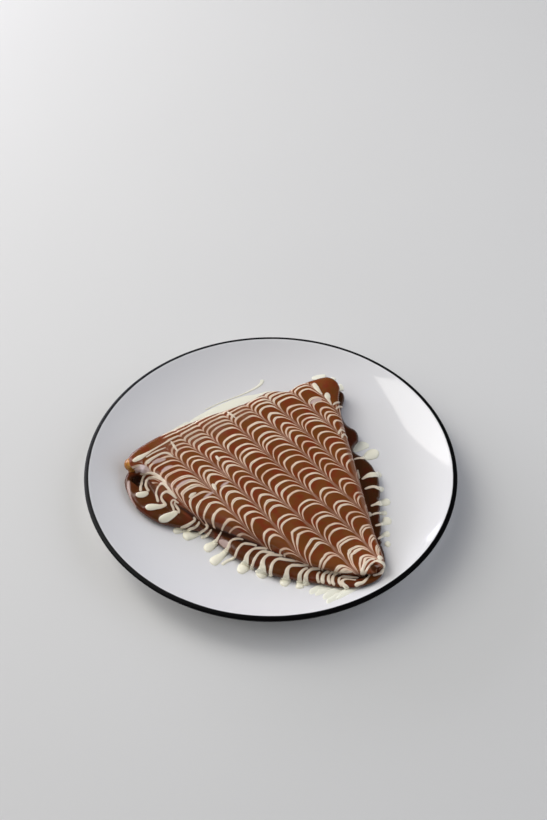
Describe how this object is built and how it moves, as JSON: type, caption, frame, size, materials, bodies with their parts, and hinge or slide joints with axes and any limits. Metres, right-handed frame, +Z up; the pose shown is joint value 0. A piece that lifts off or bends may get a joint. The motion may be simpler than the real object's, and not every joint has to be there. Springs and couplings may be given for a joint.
{
  "type": "chocolate crepe on a plate",
  "caption": "Folded wedge-shaped crepe under feathered chocolate glaze, served on a round coupe plate with a dark rim and drops of white chocolate.",
  "frame": {"origin": "middle of the plate's foot ring, at the height of the surface that it stands on", "axes": "+Z up through the plate, which is the shortest extent; the crepe's tip points towards +X and -Y"},
  "size_m": [0.27, 0.27, 0.0286],
  "materials": {
    "plate_glaze": "white glaze with a near-black glazed rim",
    "glazed_crepe": "glossy milk chocolate glaze feathered with thin white lines",
    "white_chocolate": "semi-gloss ivory drops"
  },
  "bodies": {
    "root": {"plate": "plate_glaze", "crepe_lower_fold": "glazed_crepe", "crepe_upper_fold": "glazed_crepe"}
  },
  "joints": []
}
